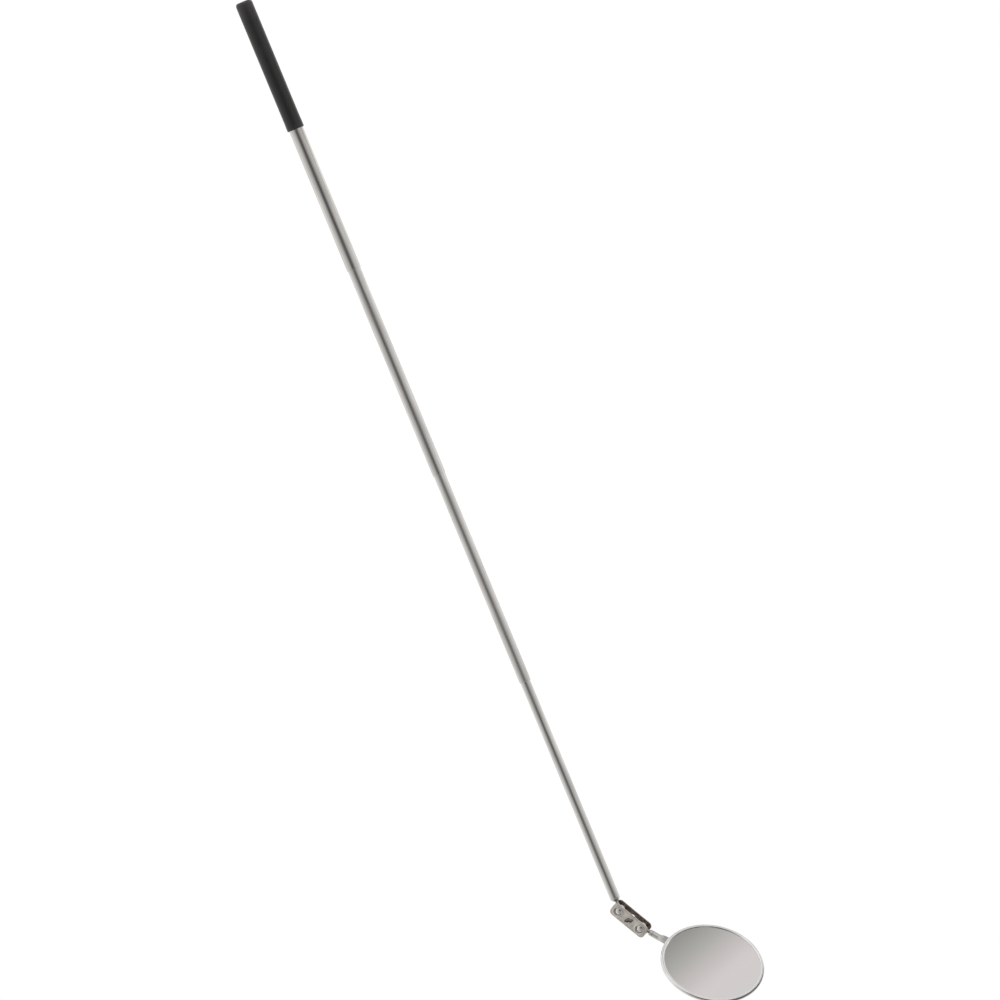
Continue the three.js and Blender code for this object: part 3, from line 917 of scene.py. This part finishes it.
def make_case():
    """A pressed cup with its edge rolled over the glass, and a stiffening groove in its back."""
    r = MIRROR_RADIUS
    back = -CASE_DEPTH
    lip = r - BEZEL
    pocket = r - 0.9
    floor = back + 0.5
    profile = softened([
        (back + 0.22, 0),
        (back + 0.22, 12, 1.0),
        (back, 13.2, 0.8),
        (back, 20.5, 0.8),
        (back + 0.25, 21.5, 0.6),
        (back + 0.25, 22.5, 0.6),
        (back, 23.5, 0.8),
        (back, r - 1.5, 1.0),
        (back + 0.75, r - 0.15, 0.7),
        (-1.3, r, 0.7),
        (-0.62, r - 0.12, 0.35),
        (-0.18, r - 0.5, 0.35),
        (0, r - 1.05, 0.35),
        (-0.14, r - 1.6, 0.3),
        (-0.42, r - 1.95, 0.2),
        (-0.7, lip, 0.08),
        (-0.7, pocket),
        (floor + 0.5, pocket),
        (floor + 0.02, pocket - 0.5),
        (floor, 0),
    ], closed=False, steps=7)
    piece("mirror_case_fine", revolved("case", profile, axis="Z", segments=192), HEAD, "head",
          CASE_CHROME, ["mirror_case"])


GLASS_INSET = 1.1


def make_glass():
    """Flat glass with a ground bevel all round. The rim has its own finish."""
    r = MIRROR_RADIUS - GLASS_INSET
    top = -GLASS_TOP
    bottom = top - GLASS_THICKNESS
    profile = [
        (bottom, 0),
        (bottom, r - 0.2),
        (bottom + 0.2, r),
        (top - 0.25, r),
        (top, r - 0.3),
        (top, r * 0.66),
        (top, r * 0.33),
        (top, 0),
    ]
    glass = piece("mirror_glass_fine", revolved("glass", profile, axis="Z", segments=192),
                  HEAD, "head", MIRROR, ["mirror_glass"])
    glass.data.materials.append(GROUND)
    for face in glass.data.polygons:
        if face.normal.dot(FACE_NORMAL) < 0.99:
            face.material_index = 1


# ---------------------------------------------------------------- making the object

make_grip()
for number in range(1, 5):
    make_tube(number)
make_tip_stud()
make_ball("rod_ball", AT_BALL_1, "ball_1")
make_ball("mirror_ball", AT_BALL_2, "ball_2")
make_plate(1)
make_plate(-1)
make_screw()
make_washer()
make_nut()
make_stem()
make_blade()
make_case()
make_glass()

CAD_FINISHES = {
    "butt_plug": NYLON,
    "friction_spring_2": BRONZE,
    "friction_spring_3": BRONZE,
    "friction_spring_4": BRONZE,
    "backing_pad": FELT,
}
for node, finish in CAD_FINISHES.items():
    for entry in frame["nodes"][node].material_slots:
        entry.material = finish

# ---------------------------------------------------------------- stage


def grey(value):
    return (value, value, value)


def emitter(name):
    """A glowing material, and its emission node for the caller to colour."""
    material = bpy.data.materials.new(name)
    material.use_nodes = True
    nodes = material.node_tree.nodes
    nodes.clear()
    output = nodes.new("ShaderNodeOutputMaterial")
    glow = nodes.new("ShaderNodeEmission")
    material.node_tree.links.new(glow.outputs[0], output.inputs[0])
    return material, glow


def stage_sheet(name, half_x, half_y, place, material):
    """A flat sheet on the stage, in metres."""
    corners = [(x * half_x, y * half_y, 0) for x, y in ((-1, -1), (1, -1), (1, 1), (-1, 1))]
    sheet = bpy.data.objects.new(name, mesh_of(name, corners, [(0, 1, 2, 3)]))
    sheet.matrix_world = place
    sheet.data.materials.append(material)
    bpy.context.scene.collection.objects.link(sheet)
    return sheet


def reflected_card(name, half_x, half_y, place, material):
    """A card that shows only in reflections."""
    card = stage_sheet(name, half_x, half_y, place, material)
    card.visible_camera = False
    card.visible_diffuse = False
    card.visible_shadow = False


FLOOR_DROP = 0.1
FLOOR_HALF = 15
FLOOR_SHADE = 0.25
FLOOR_GLOW = 0.87


def make_floor():
    """A pale sheet, below all that the mirror sweeps, partly lit from within to soften shadows."""
    material = bpy.data.materials.new("floor")
    material.use_nodes = True
    shader = material.node_tree.nodes["Principled BSDF"]
    shader.inputs["Base Color"].default_value = (*grey(FLOOR_SHADE), 1)
    shader.inputs["Roughness"].default_value = 0.9
    shader.inputs["Specular IOR Level"].default_value = 0.1
    shader.inputs["Emission Color"].default_value = (1, 1, 1, 1)
    shader.inputs["Emission Strength"].default_value = FLOOR_GLOW
    place = Matrix.Translation((AIM.x, 0, CAD_BOX[0].z - FLOOR_DROP))
    stage_sheet("floor", FLOOR_HALF, FLOOR_HALF, place, material)


def brightness_ramp(tree, value, low, high, stops):
    """A colour ramp over a value from low to high. The stops are (value, linear colour)."""
    scale = tree.nodes.new("ShaderNodeMapRange")
    scale.inputs["From Min"].default_value = low
    scale.inputs["From Max"].default_value = high
    ramp = tree.nodes.new("ShaderNodeValToRGB")
    elements = ramp.color_ramp.elements
    while len(elements) < len(stops):
        elements.new(0.5)
    for element, (at, colour) in zip(elements, stops):
        element.position = (at - low) / (high - low)
        element.color = (*colour, 1)
    tree.links.new(value, scale.inputs["Value"])
    tree.links.new(scale.outputs[0], ramp.inputs[0])
    return ramp.outputs[0]


MIRROR_CARD_AWAY = 0.65
MIRROR_CARD_HALF = 0.12
MIRROR_CARD_SLANT = math.radians(50)
MIRROR_CARD_FADE = 0.04


def make_mirror_card():
    """A card where the glass reflects to, from soft grey at one side to pinkish white."""
    camera = bpy.context.scene.camera.matrix_world
    mirrored = Matrix.Identity(3) - 2 * Matrix([FACE_NORMAL * c for c in FACE_NORMAL])
    right, up = (mirrored @ camera.col[k].to_3d() for k in range(2))
    away = (mirrored @ (FACE - camera.translation)).normalized()
    across = right * math.cos(MIRROR_CARD_SLANT) - up * math.sin(MIRROR_CARD_SLANT)
    across = (across - away * across.dot(away)).normalized()
    material, glow = emitter("mirror_card")
    tree = material.node_tree
    coordinates = tree.nodes.new("ShaderNodeTexCoord")
    split = tree.nodes.new("ShaderNodeSeparateXYZ")
    tree.links.new(coordinates.outputs["Object"], split.inputs[0])
    fade = brightness_ramp(tree, split.outputs[0], -MIRROR_CARD_FADE, MIRROR_CARD_FADE, [
        (-0.026, (0.330, 0.325, 0.306)),
        (-0.014, (0.450, 0.450, 0.427)),
        (-0.002, (0.613, 0.585, 0.571)),
        (0.006, (0.709, 0.671, 0.664)),
        (0.010, (0.741, 0.694, 0.686)),
        (0.026, (0.717, 0.702, 0.694)),
    ])
    tree.links.new(fade, glow.inputs["Color"])
    place = axes(FACE + away * MIRROR_CARD_AWAY, across, -away)
    reflected_card("mirror_card", MIRROR_CARD_HALF, MIRROR_CARD_HALF, place, material)


SIDE_CARD_LENGTH = 0.24
SIDE_CARD_HEIGHT = 0.12
SIDE_CARD_START = -0.005
SIDE_CARD_GAP = 0.035
SIDE_CARD_LIFT = 0.001
SIDE_CARD_GREY = 0.16


def make_side_card():
    """A dim card beyond the mirror, for the dark line along that side of its bezel."""
    material, glow = emitter("side_card")
    glow.inputs["Color"].default_value = (*grey(SIDE_CARD_GREY), 1)
    half_x, half_y = SIDE_CARD_LENGTH / 2, SIDE_CARD_HEIGHT / 2
    middle = Vector((
        FACE.x + SIDE_CARD_START + half_x,
        CAD_BOX[1].y + SIDE_CARD_GAP,
        CAD_BOX[0].z + SIDE_CARD_LIFT + half_y,
    ))
    place = axes(middle, Vector((1, 0, 0)), Vector((0, -1, 0)))
    reflected_card("side_card", half_x, half_y, place, material)


def make_world():
    """Soft light all round, with a dim strip overhead along the rod and less light from +X."""
    world = bpy.data.worlds.new("studio")
    bpy.context.scene.world = world
    world.use_nodes = True
    tree = world.node_tree

    def maths(operation, a, b=0.0):
        node = tree.nodes.new("ShaderNodeMath")
        node.operation = operation
        for socket, value in zip(node.inputs, (a, b)):
            if isinstance(value, bpy.types.NodeSocket):
                tree.links.new(value, socket)
            else:
                socket.default_value = value
        return node.outputs[0]

    coordinates = tree.nodes.new("ShaderNodeTexCoord")
    split = tree.nodes.new("ShaderNodeSeparateXYZ")
    tree.links.new(coordinates.outputs["Generated"], split.inputs[0])
    x, y, z = split.outputs
    angle = maths("MULTIPLY", maths("ARCTAN2", y, z), 180 / math.pi)
    strip = brightness_ramp(tree, angle, -90, 90, [
        (-85, grey(0.80)),
        (-65, grey(0.74)),
        (-48, grey(0.61)),
        (-31, grey(0.38)),
        (-15, grey(0.14)),
        (0, grey(0.10)),
        (15, grey(0.25)),
        (31, grey(0.54)),
        (48, grey(0.69)),
        (65, grey(0.77)),
        (85, grey(0.83)),
    ])
    ends = brightness_ramp(tree, x, -1, 1, [
        (-0.65, grey(1)),
        (-0.2, grey(0)),
        (0.2, grey(0)),
        (0.65, grey(1)),
    ])
    end_light = brightness_ramp(tree, x, -1, 1, [(-0.2, grey(1.05)), (0.2, grey(0.45))])
    mixed = tree.nodes.new("ShaderNodeMix")
    mixed.data_type = "RGBA"
    for socket, value in ((0, ends), (6, strip), (7, end_light)):
        tree.links.new(value, mixed.inputs[socket])
    tree.links.new(mixed.outputs[2], tree.nodes["Background"].inputs["Color"])


make_floor()
make_mirror_card()
make_side_card()
make_world()
bpy.context.scene.view_settings.view_transform = "Standard"
